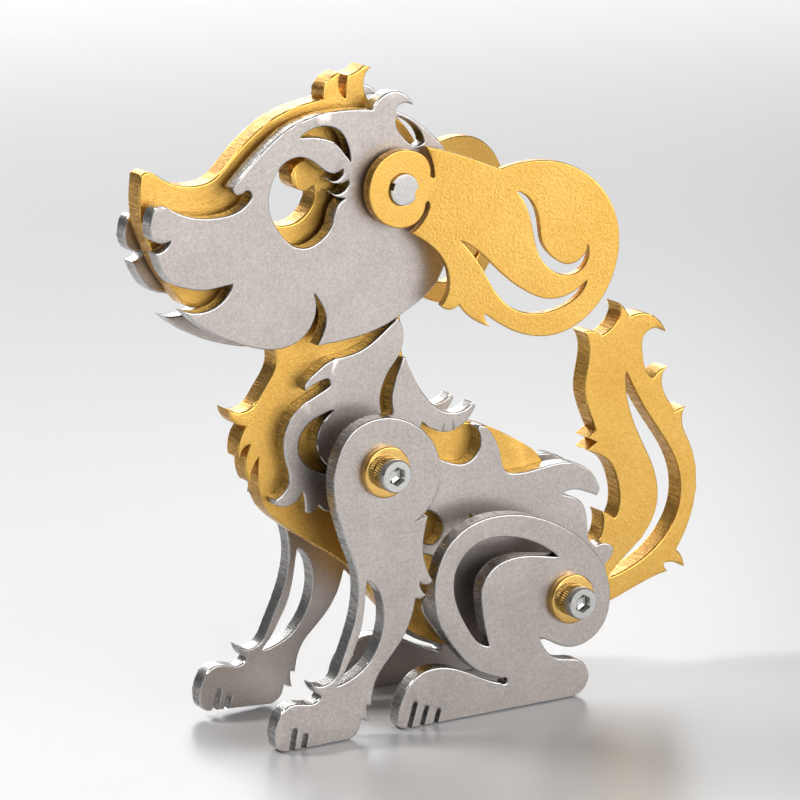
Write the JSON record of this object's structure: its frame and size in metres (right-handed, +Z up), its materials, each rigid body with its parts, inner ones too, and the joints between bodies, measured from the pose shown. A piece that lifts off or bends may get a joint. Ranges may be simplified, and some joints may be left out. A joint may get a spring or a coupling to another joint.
{
  "type": "jointed metal dog puzzle",
  "caption": "Standing puppy assembled from layered cut metal plates, with swinging legs, ears and tail on screwed cross pins.",
  "frame": {"origin": "centre of the bounding box in plan, on the surface the feet stand on", "axes": "+X towards the tail, +Y towards the right side of the dog, +Z up; the dog looks along -X"},
  "size_m": [0.1072, 0.0374, 0.1085],
  "materials": {
    "silver_plate": "bead-blasted stainless steel",
    "gold_plate": "satin gold",
    "brass_bush": "polished",
    "screw_steel": "polished",
    "pin_steel": "turned"
  },
  "bodies": {
    "frame": {"body_plate_left": "silver_plate", "body_plate_right": "silver_plate", "core_plate": "gold_plate", "front_bush_left": "brass_bush", "front_bush_right": "brass_bush", "hind_bush_left": "brass_bush", "hind_bush_right": "brass_bush", "front_screw_left": "screw_steel", "front_screw_right": "screw_steel", "hind_screw_left": "screw_steel", "hind_screw_right": "screw_steel", "body_dowel": "pin_steel", "front_axle": "pin_steel", "front_sleeve_left": "pin_steel", "front_sleeve_right": "pin_steel", "head_washer_left": "pin_steel", "head_washer_right": "pin_steel", "hind_axle": "pin_steel", "hind_sleeve_left": "pin_steel", "hind_sleeve_right": "pin_steel"},
    "front_leg_left": {"front_leg_left": "silver_plate"},
    "front_leg_right": {"front_leg_right": "silver_plate"},
    "hind_leg_left": {"hind_leg_left": "silver_plate"},
    "hind_leg_right": {"hind_leg_right": "silver_plate"},
    "head_left": {"head_plate_left": "silver_plate"},
    "head_right": {"head_plate_right": "silver_plate"},
    "ears": {"ear_pin": "pin_steel", "ear_left": "gold_plate", "ear_right": "gold_plate", "ear_washer_left": "pin_steel", "ear_washer_right": "pin_steel"},
    "tail": {"tail_plate": "gold_plate"}
  },
  "joints": [
    {"name": "front_leg_left_swing", "type": "hinge", "parent": "frame", "child": "front_leg_left", "pos_m": [-0.01505, 0, 0.0444], "axis": [0, 1, 0], "range_deg": [0, 75]},
    {"name": "front_leg_right_swing", "type": "hinge", "parent": "frame", "child": "front_leg_right", "pos_m": [-0.01505, 0, 0.0444], "axis": [0, 1, 0], "range_deg": [-3, 71]},
    {"name": "hind_leg_left_swing", "type": "hinge", "parent": "frame", "child": "hind_leg_left", "pos_m": [0.02095, 0, 0.01765], "axis": [0, 1, 0], "range_deg": [-60, 10]},
    {"name": "hind_leg_right_swing", "type": "hinge", "parent": "frame", "child": "hind_leg_right", "pos_m": [0.02095, 0, 0.01765], "axis": [0, 1, 0], "range_deg": [-60, 10]},
    {"name": "head_left_nod", "type": "hinge", "parent": "frame", "child": "head_left", "pos_m": [-0.0099, 0, 0.0893], "axis": [0, 1, 0], "range_deg": [-3, 8]},
    {"name": "head_right_nod", "type": "hinge", "parent": "frame", "child": "head_right", "pos_m": [-0.0099, 0, 0.0893], "axis": [0, 1, 0], "range_deg": [0, 12]},
    {"name": "ears_turn", "type": "hinge", "parent": "frame", "child": "ears", "pos_m": [-0.0099, 0, 0.0893], "axis": [0, 1, 0], "range_deg": [-70, 25]},
    {"name": "tail_swing", "type": "hinge", "parent": "frame", "child": "tail", "pos_m": [0.02095, 0, 0.01765], "axis": [0, 1, 0], "range_deg": [-20, 20]}
  ]
}
